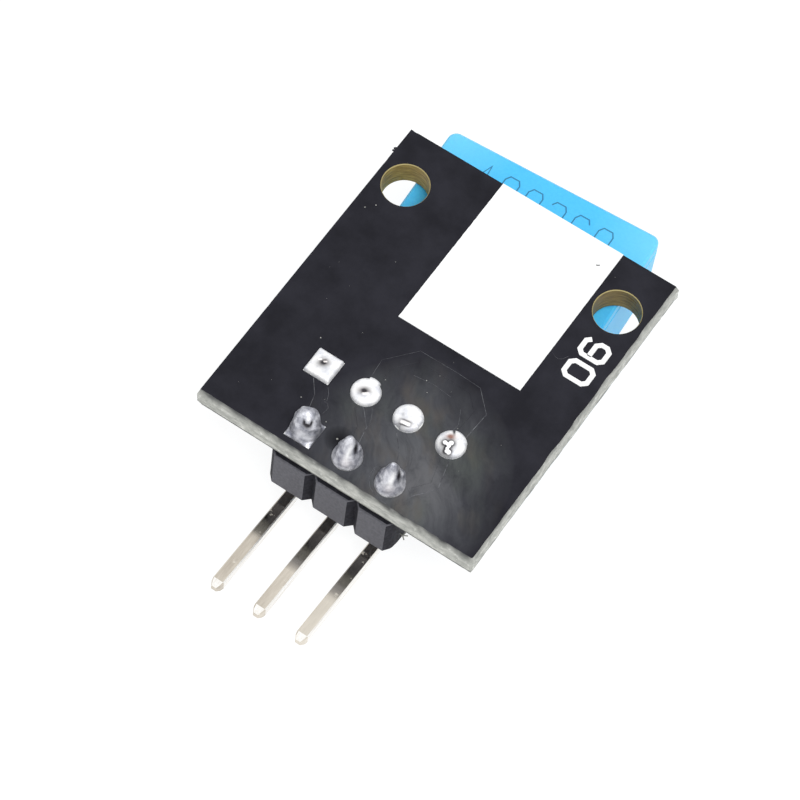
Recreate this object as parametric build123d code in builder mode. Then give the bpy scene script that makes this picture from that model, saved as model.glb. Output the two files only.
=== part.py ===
from build123d import *
from math import atan2, cos, degrees, radians, sin, tan
import os

# Temperature and humidity sensor module, lying on the grille face of its sensor at z = 0.
# The solder side looks up (+Z) and the header pins point along -Y. Lengths are in millimetres.

# Sensor case, centred on x = y = 0 and turned a little on the board, as it was soldered
sensor_width = 12.5
sensor_length = 15.5
sensor_yaw_deg = 3.2
sensor_corner = 0.5
seam_z = 4.75
cover_thickness = 0.75
cover_chamfer = 0.12
seam_groove = 0.12
case_draft_deg = 2.2
case_front_chamfer = 0.3
wall = 0.85
cavity_corner = 0.5
ledge_width = 0.6
ledge_z = 3.0
floor_thickness = 0.9
lip_thickness = 0.5
slip = 0.05

# Slots of the grille
slot_columns = 4
slot_rows = 8
slot_length = 1.9
slot_width = 0.75
slot_rib = 0.5

# Parts inside the sensor
inner_board_thickness = 0.8
inner_board_clearance = 0.1
element_side_margin = 0.6
element_end_margin = 1.8
element_thickness = 0.6
bead_zone = 4.8
bead_radius = 0.8
bead_end_margin = 2.3
bead_drop = 1.0
bead_wire_side = 0.2
bead_wire_half_gap = 0.35
bead_wire_reach = 1.6
bead_wire_bend = 0.4
chip_radius = 2.1
chip_height = 0.85
chip_top_radius = 1.2
chip_y = 1.5

# Circuit board, its V-scored edges and mounting holes
board_gap = 0.15
board_thickness = 1.6
board_width = 16.2
board_center_x = 0.22
sensor_overhang = 2.6
score_depth = 0.5
score_out = 0.16
mount_hole_radius = 1.25
mount_hole_side_inset = 1.65
mount_hole_end_inset = 2.96

# White marking panel
label_left = 2.4
label_hole_gap = 0.28
label_length = 9.55
label_thickness = 0.05

# Plated holes and their rings
pitch = 2.54
lead_reach = 1.17
row_gap = 3.47
header_margin = 1.06
sensor_pad_count = 4
header_pad_count = 3
round_pad_diameter = 1.56
square_pad_side = 1.5
ring_thickness = 0.04
plating = 0.05
sensor_bore_radius = 0.45
header_bore_radius = 0.56

# Leads of the sensor
lead_width = 0.5
lead_thickness = 0.25
lead_landing = 0.8
lead_bend = 0.4
lead_stub = 0.3

# Solder on the leads
sensor_solder_height = 0.38
solder_shoulder_inset = 0.28
solder_shoulder_height = 0.27

# Header, soldered in at a small tilt
header_tilt_deg = 5.5
housing_gap = 0.15
housing_height = 2.4
housing_half_depth = 1.22
unit_flat = 1.86
notch_depth = 0.36
pin_side = 0.64
pin_fit = 0.01
pin_drop = 1.13
pin_bend = 0.9
pin_reach = 7.4
pin_tip_length = 0.4
pin_tip_side = 0.34
stub_height = 1.85
stub_tip_length = 0.5
stub_tip_side = 0.3

# Solder cones on the header pins
cone_heights = (2.2, 2.1, 2.1)
cone_neck_cover = 0.03
cone_tip_height = 0.22
cone_tip_radius = 0.23
cone_foot_reach = 0.18
cone_waist_height = 0.3
cone_waist_radius = 0.66

# Pull-up resistor on the component side
resistor_side_inset = 3.32
resistor_row_gap = 1.64
resistor_length = 1.6
resistor_width = 0.8
resistor_height = 0.45
resistor_cap = 0.3
resistor_pad_length = 0.8
resistor_pad_width = 0.9
resistor_fillet = 0.3

# Places that follow from the values above
sensor_row_y = -sensor_length / 2 - lead_reach
header_row_y = sensor_row_y - row_gap
board_far_y = sensor_length / 2 - sensor_overhang
board_near_y = header_row_y - header_margin
board_length = board_far_y - board_near_y
mount_hole_half_span = board_width / 2 - mount_hole_side_inset
label_right = mount_hole_half_span - mount_hole_radius - label_hole_gap
resistor_x = board_center_x + board_width / 2 - resistor_side_inset
resistor_y = header_row_y + resistor_row_gap
board_bottom_z = seam_z + cover_thickness + board_gap
board_top_z = board_bottom_z + board_thickness
board_mid_z = board_bottom_z + board_thickness / 2
pad_bottom_z = board_bottom_z - ring_thickness
pad_top_z = board_top_z + ring_thickness
board_center_y = (board_far_y + board_near_y) / 2
inner_board_top_z = ledge_z + inner_board_thickness
lead_top_z = inner_board_top_z + lead_thickness
sensor_xs = [board_center_x + pitch * (k - (sensor_pad_count - 1) / 2) for k in range(sensor_pad_count)]
header_xs = [board_center_x + pitch * (k - (header_pad_count - 1) / 2) for k in range(header_pad_count)]

yaw = radians(sensor_yaw_deg)
across_sensor = (cos(yaw), sin(yaw), 0)
along_sensor = (-sin(yaw), cos(yaw), 0)
cavity_width = sensor_width - 2 * wall
cavity_length = sensor_length - 2 * wall
lower_width = cavity_width - 2 * ledge_width
lower_length = cavity_length - 2 * ledge_width
inner_board_width = cavity_width - 2 * inner_board_clearance
inner_board_length = cavity_length - 2 * inner_board_clearance
element_length = lower_length - element_end_margin - bead_zone
element_y = (element_end_margin - bead_zone) / 2
bead_y = lower_length / 2 - bead_end_margin
lead_inner_y = lead_landing - inner_board_length / 2

tilt = radians(header_tilt_deg)
leg_dir = (0, sin(tilt), cos(tilt))
across_leg = (0, cos(tilt), -sin(tilt))
housing_top = -(board_thickness / 2 + housing_gap + housing_half_depth * sin(tilt)) / cos(tilt)
leg_bottom = housing_top - housing_height - pin_drop
stub_top = board_thickness / 2 + stub_height


def sensor_plane(z):
    """Level plane at height z that is turned with the sensor."""
    return Plane(origin=(0, 0, z), x_dir=across_sensor, z_dir=(0, 0, 1))


def sensor_point(x, y, z):
    """Point given across and along the turned sensor."""
    return (x * cos(yaw) - y * sin(yaw), x * sin(yaw) + y * cos(yaw), z)


def pad_outline(number, x, y):
    """The first pad of a row is square, the others are round."""
    with Locations((x, y)):
        if number == 1:
            Rectangle(square_pad_side, square_pad_side)
        else:
            Circle(round_pad_diameter / 2)


def leg_plane(x):
    """Upright plane through a header pin, its y axis along the leg of the pin."""
    return Plane(origin=(x, header_row_y, board_mid_z), x_dir=across_leg, z_dir=(1, 0, 0))


os.makedirs("parts", exist_ok=True)

# Board: a middle web left by snapping, and the two scored halves above and below it
with BuildPart() as circuit_board:
    web_z = board_bottom_z + score_depth
    web_height = board_thickness - 2 * score_depth
    score_angle = degrees(atan2(score_out, score_depth))
    with BuildSketch(Plane.XY.offset(web_z)):
        with Locations((board_center_x, board_center_y)):
            Rectangle(board_width + 2 * score_out, board_length + 2 * score_out)
    extrude(amount=web_height)
    extrude(circuit_board.faces().sort_by(Axis.Z)[-1], amount=score_depth, taper=score_angle)
    extrude(circuit_board.faces().sort_by(Axis.Z)[0], amount=score_depth, taper=score_angle)
    with BuildSketch(Plane.XY.offset(board_bottom_z)):
        with Locations((board_center_x, board_far_y - mount_hole_end_inset)):
            with GridLocations(2 * mount_hole_half_span, 0, 2, 1):
                Circle(mount_hole_radius)
        with Locations(*[(x, sensor_row_y) for x in sensor_xs]):
            Circle(sensor_bore_radius + plating)
        with Locations(*[(x, header_row_y) for x in header_xs]):
            Circle(header_bore_radius + plating)
    extrude(amount=board_thickness, mode=Mode.SUBTRACT)
circuit_board.part.label = "circuit_board"
export_step(circuit_board.part, "parts/circuit_board.step")

# White marking panel, flush with the far edge of the solder side
with BuildPart() as white_label:
    label_width = label_left + label_right
    with BuildSketch(Plane.XY.offset(board_top_z)):
        with Locations((board_center_x + (label_right - label_left) / 2, board_far_y - label_length / 2)):
            Rectangle(label_width, label_length)
    extrude(amount=label_thickness)
white_label.part.label = "white_label"
export_step(white_label.part, "parts/white_label.step")

# Back plate of the sensor with a lip that drops into the case
with BuildPart() as sensor_back_cover:
    lip_width = cavity_width - 2 * slip
    lip_length = cavity_length - 2 * slip
    with BuildSketch(sensor_plane(seam_z)):
        RectangleRounded(sensor_width, sensor_length, sensor_corner)
    extrude(amount=cover_thickness)
    chamfer(sensor_back_cover.edges().group_by(Axis.Z)[-1], length=cover_chamfer)
    chamfer(sensor_back_cover.edges().group_by(Axis.Z)[0], length=seam_groove)
    with BuildSketch(sensor_plane(lead_top_z + slip)):
        RectangleRounded(lip_width, lip_length, cavity_corner - slip)
        Rectangle(lip_width - 2 * lip_thickness, lip_length - 2 * lip_thickness, mode=Mode.SUBTRACT)
    extrude(amount=seam_z - lead_top_z - slip)
sensor_back_cover.part.label = "sensor_back_cover"
export_step(sensor_back_cover.part, "parts/sensor_back_cover.step")

# Front shell of the sensor: drafted walls, a ledge for the inner board and a slotted grille
with BuildPart() as sensor_grille_case:
    with BuildSketch(sensor_plane(seam_z)):
        RectangleRounded(sensor_width, sensor_length, sensor_corner)
    extrude(amount=seam_z, dir=(0, 0, -1), taper=case_draft_deg)
    chamfer(sensor_grille_case.edges().group_by(Axis.Z)[0], length=case_front_chamfer)
    chamfer(sensor_grille_case.edges().group_by(Axis.Z)[-1], length=seam_groove)
    with BuildSketch(sensor_plane(ledge_z)):
        RectangleRounded(cavity_width, cavity_length, cavity_corner)
    extrude(amount=seam_z - ledge_z, mode=Mode.SUBTRACT)
    with BuildSketch(sensor_plane(floor_thickness)):
        Rectangle(lower_width, lower_length)
    extrude(amount=ledge_z - floor_thickness, mode=Mode.SUBTRACT)
    with BuildSketch(sensor_plane(0)):
        with GridLocations(slot_length + slot_rib, slot_width + slot_rib, slot_columns, slot_rows):
            Rectangle(slot_length, slot_width)
    extrude(amount=floor_thickness, mode=Mode.SUBTRACT)
    with BuildSketch(Plane.XY.offset(inner_board_top_z - slip)):
        with Locations(*[(x, -sensor_length / 2) for x in sensor_xs]):
            Rectangle(lead_width + 2 * slip, 3 * wall)
    extrude(amount=seam_z - inner_board_top_z + slip, mode=Mode.SUBTRACT)
sensor_grille_case.part.label = "sensor_grille_case"
export_step(sensor_grille_case.part, "parts/sensor_grille_case.step")

# Small board inside the sensor, lying on the ledge
with BuildPart() as sensor_inner_board:
    with BuildSketch(sensor_plane(ledge_z)):
        RectangleRounded(inner_board_width, inner_board_length, cavity_corner)
    extrude(amount=inner_board_thickness)
sensor_inner_board.part.label = "sensor_inner_board"
export_step(sensor_inner_board.part, "parts/sensor_inner_board.step")

# Moisture-sensitive plate on the front of the inner board
with BuildPart() as humidity_element:
    with BuildSketch(sensor_plane(ledge_z - element_thickness)):
        with Locations((0, element_y)):
            Rectangle(lower_width - 2 * element_side_margin, element_length)
    extrude(amount=element_thickness)
humidity_element.part.label = "humidity_element"
export_step(humidity_element.part, "parts/humidity_element.step")

# Thermistor bead hanging from the inner board on two bent wires
with BuildPart() as temperature_bead:
    bead_z = ledge_z - bead_drop
    bead_cut = bead_radius * (2 - 2**0.5)
    with BuildSketch(sensor_plane(bead_z - bead_radius)):
        with Locations((0, bead_y)):
            RegularPolygon(bead_radius, 8, major_radius=False)
    extrude(amount=2 * bead_radius)
    chamfer(temperature_bead.faces().filter_by(Axis.Z).edges(), length=bead_cut)
    for side in (-1, 1):
        wire_plane = Plane(
            origin=sensor_point(side * bead_wire_half_gap, bead_y, bead_z),
            x_dir=along_sensor,
            z_dir=across_sensor,
        )
        with BuildLine(wire_plane) as wire_path:
            FilletPolyline(
                (0, 0),
                (bead_wire_reach, 0),
                (bead_wire_reach, bead_drop),
                radius=bead_wire_bend,
            )
        with BuildSketch(Plane(origin=wire_path.line @ 0, x_dir=across_sensor, z_dir=along_sensor)):
            Rectangle(bead_wire_side, bead_wire_side)
        sweep(path=wire_path.line)
temperature_bead.part.label = "temperature_bead"
export_step(temperature_bead.part, "parts/temperature_bead.step")

# Chip sealed under a drop of resin on the back of the inner board
with BuildPart() as sensor_chip:
    chip_point = sensor_point(0, chip_y, inner_board_top_z)
    with BuildSketch(Plane(origin=chip_point, x_dir=(1, 0, 0), z_dir=(0, -1, 0))):
        with BuildLine():
            Polyline(
                (0, 0),
                (chip_radius, 0),
                (chip_top_radius, chip_height),
                (0, chip_height),
                close=True,
            )
        make_face()
    revolve(axis=Axis(chip_point, (0, 0, 1)))
sensor_chip.part.label = "sensor_chip"
export_step(sensor_chip.part, "parts/sensor_chip.step")

# Flat leads of the sensor: out of the end wall, then up through the board; each with its solder
for number, x in enumerate(sensor_xs, start=1):
    with BuildPart() as sensor_pad:
        with BuildSketch(Plane.XY.offset(pad_bottom_z)):
            pad_outline(number, x, sensor_row_y)
        extrude(amount=ring_thickness)
        with BuildSketch(Plane.XY.offset(board_top_z)):
            pad_outline(number, x, sensor_row_y)
        extrude(amount=ring_thickness)
        with BuildSketch(Plane.XY.offset(pad_bottom_z)):
            with Locations((x, sensor_row_y)):
                Circle(sensor_bore_radius + plating)
        extrude(amount=pad_top_z - pad_bottom_z)
        with BuildSketch(Plane.XY.offset(pad_bottom_z)):
            with Locations((x, sensor_row_y)):
                Circle(sensor_bore_radius)
        extrude(amount=pad_top_z - pad_bottom_z, mode=Mode.SUBTRACT)
    sensor_pad.part.label = f"sensor_pad_{number}"
    export_step(sensor_pad.part, f"parts/sensor_pad_{number}.step")

    with BuildPart() as sensor_lead:
        lead_mid_z = inner_board_top_z + lead_thickness / 2
        with BuildLine(Plane(origin=(x, 0, 0), x_dir=(0, 1, 0), z_dir=(1, 0, 0))) as lead_path:
            FilletPolyline(
                (lead_inner_y, lead_mid_z),
                (sensor_row_y, lead_mid_z),
                (sensor_row_y, board_top_z + lead_stub),
                radius=lead_bend,
            )
        with BuildSketch(Plane(origin=lead_path.line @ 0, x_dir=(1, 0, 0), z_dir=(0, -1, 0))):
            Rectangle(lead_width, lead_thickness)
        sweep(path=lead_path.line)
    sensor_lead.part.label = f"sensor_lead_{number}"
    export_step(sensor_lead.part, f"parts/sensor_lead_{number}.step")

    with BuildPart() as sensor_solder:
        solder_foot = square_pad_side / 2**0.5 if number == 1 else round_pad_diameter / 2
        joint_point = (x, sensor_row_y, pad_top_z)
        with BuildSketch(Plane(origin=joint_point, x_dir=(1, 0, 0), z_dir=(0, -1, 0))):
            with BuildLine():
                Polyline(
                    (0, 0),
                    (solder_foot, 0),
                    (solder_foot - solder_shoulder_inset, solder_shoulder_height),
                    (0, sensor_solder_height),
                    close=True,
                )
            make_face()
        revolve(axis=Axis(joint_point, (0, 0, 1)))
        with BuildSketch(Plane.XY.offset(pad_top_z)):
            pad_outline(number, x, sensor_row_y)
        extrude(amount=sensor_solder_height, mode=Mode.INTERSECT)
        with BuildSketch(Plane.XY.offset(pad_bottom_z)):
            with Locations((x, sensor_row_y)):
                Circle(sensor_bore_radius)
        extrude(amount=pad_top_z - pad_bottom_z)
        add(sensor_lead.part, mode=Mode.SUBTRACT)
    sensor_solder.part.label = f"sensor_solder_{number}"
    export_step(sensor_solder.part, f"parts/sensor_solder_{number}.step")

# Plastic strip of the header: three units in one, a V notch between each two
with BuildPart() as header_housing:
    housing_plane = Plane(
        origin=(board_center_x, header_row_y, board_mid_z),
        x_dir=(1, 0, 0),
        z_dir=leg_dir,
    )
    half_flat = unit_flat / 2
    half_waist = housing_half_depth - notch_depth
    with BuildSketch(housing_plane.offset(housing_top - housing_height)):
        with GridLocations(pitch, 0, header_pad_count, 1):
            Polygon(
                (-pitch / 2, -half_waist),
                (-half_flat, -housing_half_depth),
                (half_flat, -housing_half_depth),
                (pitch / 2, -half_waist),
                (pitch / 2, half_waist),
                (half_flat, housing_half_depth),
                (-half_flat, housing_half_depth),
                (-pitch / 2, half_waist),
                align=None,
            )
    extrude(amount=housing_height)
    with BuildSketch(housing_plane.offset(housing_top - housing_height)):
        with GridLocations(pitch, 0, header_pad_count, 1):
            Rectangle(pin_side + 2 * pin_fit, pin_side + 2 * pin_fit)
    extrude(amount=housing_height, mode=Mode.SUBTRACT)
header_housing.part.label = "header_housing"
export_step(header_housing.part, "parts/header_housing.step")

# Header pins: stub, leg through the housing, one bend and a chamfered end; each with its solder cone
for number, x in enumerate(header_xs, start=1):
    with BuildPart() as header_pad:
        with BuildSketch(Plane.XY.offset(pad_bottom_z)):
            pad_outline(number, x, header_row_y)
        extrude(amount=ring_thickness)
        with BuildSketch(Plane.XY.offset(board_top_z)):
            pad_outline(number, x, header_row_y)
        extrude(amount=ring_thickness)
        with BuildSketch(Plane.XY.offset(pad_bottom_z)):
            with Locations((x, header_row_y)):
                Circle(header_bore_radius + plating)
        extrude(amount=pad_top_z - pad_bottom_z)
        with BuildSketch(Plane.XY.offset(pad_bottom_z)):
            with Locations((x, header_row_y)):
                Circle(header_bore_radius)
        extrude(amount=pad_top_z - pad_bottom_z, mode=Mode.SUBTRACT)
    header_pad.part.label = f"header_pad_{number}"
    export_step(header_pad.part, f"parts/header_pad_{number}.step")

    with BuildPart() as header_pin:
        with BuildLine(leg_plane(x)) as pin_path:
            FilletPolyline(
                (0, stub_top - stub_tip_length),
                (0, leg_bottom),
                (pin_tip_length - pin_reach, leg_bottom),
                radius=pin_bend,
            )
        stub_base = pin_path.line @ 0
        tip_base = pin_path.line @ 1
        with BuildSketch(Plane(origin=stub_base, x_dir=(1, 0, 0), z_dir=-(pin_path.line % 0))):
            Rectangle(pin_side, pin_side)
        sweep(path=pin_path.line)
        with BuildSketch(Plane(origin=stub_base, x_dir=(1, 0, 0), z_dir=-(pin_path.line % 0))):
            Rectangle(pin_side, pin_side)
        extrude(
            amount=stub_tip_length,
            taper=degrees(atan2((pin_side - stub_tip_side) / 2, stub_tip_length)),
        )
        with BuildSketch(Plane(origin=tip_base, x_dir=(1, 0, 0), z_dir=pin_path.line % 1)):
            Rectangle(pin_side, pin_side)
        extrude(
            amount=pin_tip_length,
            taper=degrees(atan2((pin_side - pin_tip_side) / 2, pin_tip_length)),
        )
    header_pin.part.label = f"header_pin_{number}"
    export_step(header_pin.part, f"parts/header_pin_{number}.step")

    with BuildPart() as header_solder:
        cone_top = board_thickness / 2 + cone_heights[number - 1]
        pad_reach = square_pad_side / 2**0.5 if number == 1 else round_pad_diameter / 2
        foot_radius = pad_reach + cone_foot_reach
        foot_y = pad_top_z - board_mid_z
        neck_y = stub_top - stub_tip_length
        neck_radius = pin_side / 2**0.5 + cone_neck_cover
        tip_y = cone_top - cone_tip_height
        waist_y = foot_y + cone_waist_height
        buried_y = foot_y - foot_radius * tan(tilt)
        with BuildSketch(leg_plane(x)):
            with BuildLine():
                Polyline(
                    (0, buried_y),
                    (foot_radius, buried_y),
                    (foot_radius, foot_y),
                    (cone_waist_radius, waist_y),
                    (neck_radius, neck_y),
                    (cone_tip_radius, tip_y),
                    (0, cone_top),
                    close=True,
                )
            make_face()
        revolve(axis=Axis((x, header_row_y, board_mid_z), leg_dir))
        with BuildSketch(Plane.XY.offset(pad_top_z)):
            pad_outline(number, x, header_row_y)
        extrude(amount=cone_top, mode=Mode.INTERSECT)
        with BuildSketch(Plane.XY.offset(pad_bottom_z)):
            with Locations((x, header_row_y)):
                Circle(header_bore_radius)
        extrude(amount=pad_top_z - pad_bottom_z)
        add(header_pin.part, mode=Mode.SUBTRACT)
    header_solder.part.label = f"header_solder_{number}"
    export_step(header_solder.part, f"parts/header_solder_{number}.step")

# Pull-up resistor under the board: a ceramic body between two metal caps
with BuildPart() as resistor_body:
    with BuildSketch(Plane.XY.offset(pad_bottom_z - resistor_height)):
        with Locations((resistor_x, resistor_y)):
            Rectangle(resistor_length - 2 * resistor_cap, resistor_width)
    extrude(amount=resistor_height)
resistor_body.part.label = "resistor_body"
export_step(resistor_body.part, "parts/resistor_body.step")

# Metal caps of the resistor and the soldered pads that hold them
for number, side in enumerate((-1, 1), start=1):
    cap_end_x = resistor_x + side * resistor_length / 2
    with BuildPart() as resistor_cap_end:
        with BuildSketch(Plane.XY.offset(pad_bottom_z - resistor_height)):
            with Locations((cap_end_x - side * resistor_cap / 2, resistor_y)):
                Rectangle(resistor_cap, resistor_width)
        extrude(amount=resistor_height)
    resistor_cap_end.part.label = f"resistor_cap_{number}"
    export_step(resistor_cap_end.part, f"parts/resistor_cap_{number}.step")

    with BuildPart() as resistor_joint:
        pad_inner_x = cap_end_x - side * resistor_cap
        with BuildSketch(Plane.XY.offset(pad_bottom_z)):
            with Locations((pad_inner_x + side * resistor_pad_length / 2, resistor_y)):
                Rectangle(resistor_pad_length, resistor_pad_width)
        extrude(amount=ring_thickness)
        cap_foot = (cap_end_x, resistor_y, pad_bottom_z)
        with BuildSketch(Plane(origin=cap_foot, x_dir=(1, 0, 0), z_dir=(0, -1, 0))):
            Polygon(
                (0, 0),
                (side * resistor_fillet, 0),
                (0, -resistor_fillet),
                align=None,
            )
        extrude(amount=resistor_width / 2, both=True)
    resistor_joint.part.label = f"resistor_joint_{number}"
    export_step(resistor_joint.part, f"parts/resistor_joint_{number}.step")
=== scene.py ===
import math
import random

import bpy
from bpy.props import FloatProperty, IntProperty, PointerProperty
from mathutils import Matrix, Vector, noise
from mathutils.geometry import delaunay_2d_cdt


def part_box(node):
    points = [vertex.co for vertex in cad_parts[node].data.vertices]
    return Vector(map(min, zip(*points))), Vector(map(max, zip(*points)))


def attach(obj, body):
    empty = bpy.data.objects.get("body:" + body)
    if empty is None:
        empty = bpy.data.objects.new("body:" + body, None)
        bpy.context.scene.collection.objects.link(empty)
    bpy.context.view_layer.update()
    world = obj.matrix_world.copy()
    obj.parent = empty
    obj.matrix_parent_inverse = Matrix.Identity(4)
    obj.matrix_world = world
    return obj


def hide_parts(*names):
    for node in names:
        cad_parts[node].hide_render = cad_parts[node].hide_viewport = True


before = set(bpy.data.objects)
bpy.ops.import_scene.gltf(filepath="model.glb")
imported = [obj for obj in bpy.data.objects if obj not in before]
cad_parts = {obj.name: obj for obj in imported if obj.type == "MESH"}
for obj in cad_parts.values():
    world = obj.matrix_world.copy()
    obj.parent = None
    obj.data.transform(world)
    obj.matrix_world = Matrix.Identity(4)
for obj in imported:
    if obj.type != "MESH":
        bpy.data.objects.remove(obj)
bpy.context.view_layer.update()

bl_info = {
    "name": "Temperature Humidity Sensor Module",
    "version": (1, 0, 0),
    "blender": (4, 5, 0),
    "location": "View3D > Sidebar > Sensor Module",
    "description": "Dresses a small sensor board with its solder, header, marks and studio",
    "category": "Add Mesh",
}

# Points and lengths below are in millimetres, and go to metres where a mesh is made.
MM = 0.001
# Turn in degrees at which the module is mostly looked at, and that of the wiped flux
VIEW_TURN = 35
FLOW = math.radians(-VIEW_TURN)
# Screw holes: half their distance, distance of their centres from the far edge, radius
SCREW_HOLES = (6.45, 2.96, 1.25)
# Width and depth of the bare ring round a screw hole, and radii of the bores for leads and for pins
BARE_RING = 0.035
RING_DEEP = 0.05
LEAD_BORE = 0.5
PIN_BORE = 0.61
# Number of the board's right side, counted from the near one
RIGHT_SIDE = 1
# Shares of half the board's thickness at which the snapped web and the painted shade of its scores begin
WEB_SHARE = 0.39
SCORE_SHADE_SHARE = 0.36
# Heights of the rows of points down the board's edge, as shares of half its thickness
EDGE_ROWS = [1.0, 0.94, 0.82, 0.68, 0.52, 0.4, 0.3, 0.18, 0.06]
EDGE_ROWS += [-level for level in reversed(EDGE_ROWS)]
# Height of the header strip's top under the middle of the board, and its thickness
STRIP_TOP = -1.0719
STRIP_HEIGHT = 2.4
# Share of the strip's top, from its middle line out, that is painted dark as shade under the board
SHADED_TOP_SHARE = 0.885
# A unit of the strip: half its flat face, half its depth, and half its depth in the notches
UNIT_FLAT = 0.93
UNIT_DEEP = 1.22
NOTCH_DEEP = 0.86
# How far under the strip the pins run level, and half their thickness
PIN_DROP = 1.13
PIN_HALF = 0.32
# How far from the row the painted dark reflection on each pin reaches, and how strong each pin's painted
# sheen is
DARK_REFLECTION_ENDS = (-4.0, -4.5, -4.6)
PIN_SHEEN = (0.0, 0.1, 0.5)


class ModuleSettings(bpy.types.PropertyGroup):
    """Sizes that only the look needs; the others come from the solid model."""

    score_out: FloatProperty(
        name="Snapped web",
        description="How far the snapped middle of the board's edge stands out of its faces",
        default=0.00016,
        unit="LENGTH",
    )
    edge_step: FloatProperty(
        name="Edge step",
        description="Length of one facet along the torn edge of the board",
        default=0.00011,
        unit="LENGTH",
    )
    edge_tear: FloatProperty(
        name="Edge tear",
        description="Depth of the torn glass fibres on the snapped web",
        default=0.00007,
        unit="LENGTH",
    )
    track_height: FloatProperty(
        name="Track height",
        description="How far a copper track lifts the solder mask",
        default=0.000025,
        unit="LENGTH",
    )
    stroke_width: FloatProperty(
        name="Printed stroke",
        description="Width of the strokes of the printed figures",
        default=0.00028,
        unit="LENGTH",
    )
    etch_width: FloatProperty(
        name="Etched stroke",
        description="Width of the strokes marked into the blue cover",
        default=0.00008,
        unit="LENGTH",
    )
    header_tilt: FloatProperty(
        name="Header tilt",
        description="Angle at which the header was soldered in",
        default=math.radians(5.5),
        subtype="ANGLE",
    )
    pin_edge: FloatProperty(
        name="Pin edge",
        description="Bevel along the edges of the square pins",
        default=0.00006,
        unit="LENGTH",
    )
    seed: IntProperty(
        name="Seed",
        description="Start of the random series for tears, specks and solder",
        default=7,
    )


# Small helpers


def linear(code, alpha=1.0):
    """Colour from an sRGB hex code, as the shader wants it."""
    parts = [int(code[i : i + 2], 16) / 255 for i in (1, 3, 5)]
    lin = [c / 12.92 if c <= 0.04045 else ((c + 0.055) / 1.055) ** 2.4 for c in parts]
    return (lin[0], lin[1], lin[2], alpha)


def node_box(name):
    """Lowest and highest corner of a solid, in millimetres."""
    low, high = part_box(name)
    return [v / MM for v in low], [v / MM for v in high]


def centre_of(name):
    """Middle of a solid seen from above, in millimetres."""
    low, high = node_box(name)
    return (low[0] + high[0]) / 2, (low[1] + high[1]) / 2


def board_top():
    """Height of the solder side, in millimetres."""
    return node_box("circuit_board")[1][2]


def board_middle():
    """Height of the middle of the board, in millimetres."""
    low, high = node_box("circuit_board")
    return (low[2] + high[2]) / 2


def board_face():
    """Lowest and highest corner of the masked face, inside the scored edges, in millimetres."""
    low, high = node_box("circuit_board")
    out = bpy.context.scene.sensor_module.score_out / MM
    return [low[0] + out, low[1] + out, low[2]], [high[0] - out, high[1] - out, high[2]]


def on_board(right, down):
    """Point of the solder side, measured from its left edge and from its far edge."""
    low, high = board_face()
    return low[0] + right, high[1] - down


def new_piece(name, points, faces, looks, picks=None, smooth=False, tints=None):
    """Makes a mesh object from points in millimetres; picks gives each face one of the looks."""
    if not faces:
        raise RuntimeError(f"{name} has no faces")
    mesh = bpy.data.meshes.new(name)
    mesh.from_pydata([[c * MM for c in p] for p in points], [], faces)
    for key in looks:
        mesh.materials.append(material_for(key))
    if picks:
        mesh.polygons.foreach_set("material_index", picks)
    mesh.polygons.foreach_set("use_smooth", [smooth] * len(mesh.polygons))
    for key, values in (tints or {}).items():
        mesh.attributes.new(key, "FLOAT", "POINT").data.foreach_set("value", values)
    mesh.update()
    piece = bpy.data.objects.new(name, mesh)
    bpy.context.scene.collection.objects.link(piece)
    return piece


def settle(piece, replaced=()):
    """Fixes a piece to the module and hides the solids it stands for."""
    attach(piece, "root")
    if replaced:
        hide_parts(*replaced)


def clamp(value):
    """The value, or the nearer of 0 and 1."""
    return min(1.0, max(0.0, value))


def wobble(x, y=0.0, z=0.0):
    """Smooth noise from -1 to 1."""
    return noise.noise(Vector((x, y, z)))


def bell(gaps, sizes):
    """1 in the middle of a spot, falling off smoothly over its sizes."""
    return math.exp(-sum((gap / size) ** 2 for gap, size in zip(gaps, sizes)))


def blob(gaps, size):
    """1 inside a round spot, with a quick fall at its edge."""
    return clamp(4 * (bell(gaps, (size, size)) - 0.37) + 0.5)


def slab(across, along, half_across, half_along):
    """1 inside a rounded rectangle, with a quick fall at its edge."""
    return math.exp(-((across / half_across) ** 4) - (along / half_along) ** 4)


# Materials


def add_node(tree, kind, inputs=None, **settings):
    """Adds one shader node and links or sets its sockets; a hex code stands for its colour."""
    made = tree.nodes.new(kind)
    for key, value in settings.items():
        setattr(made, key, value)
    for key, value in (inputs or {}).items():
        if isinstance(value, bpy.types.NodeSocket):
            tree.links.new(value, made.inputs[key])
        else:
            made.inputs[key].default_value = linear(value) if isinstance(value, str) else value
    return made


def place_mm(tree, stretch=(1.0, 1.0, 1.0)):
    """Object position in millimetres, stretched for patterns with a grain."""
    where = add_node(tree, "ShaderNodeTexCoord")
    scale = [s / MM for s in stretch]
    made = add_node(tree, "ShaderNodeMapping", {"Vector": where.outputs["Object"], "Scale": scale})
    return made.outputs["Vector"]


def streaks(tree, stretch):
    """Position in millimetres, turned to the flow of the flux and then stretched for a grain."""
    turned = add_node(tree, "ShaderNodeMapping", {"Vector": place_mm(tree), "Rotation": (0.0, 0.0, FLOW)})
    made = add_node(tree, "ShaderNodeMapping", {"Vector": turned.outputs["Vector"], "Scale": stretch})
    return made.outputs["Vector"]


def speckle(tree, scale, detail=3.0, rough=0.6, stretch=(1.0, 1.0, 1.0), vector=None):
    """Noise whose cells are about 1/scale millimetres wide."""
    if vector is None:
        vector = place_mm(tree, stretch)
    inputs = {"Vector": vector, "Scale": scale, "Detail": detail, "Roughness": rough}
    return add_node(tree, "ShaderNodeTexNoise", inputs).outputs["Fac"]


def levels(tree, value, low, high, out_low=0.0, out_high=1.0):
    """Stretches a value from one range to another, clamped."""
    inputs = {"Value": value, "From Min": low, "From Max": high, "To Min": out_low, "To Max": out_high}
    return add_node(tree, "ShaderNodeMapRange", inputs).outputs["Result"]


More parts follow.
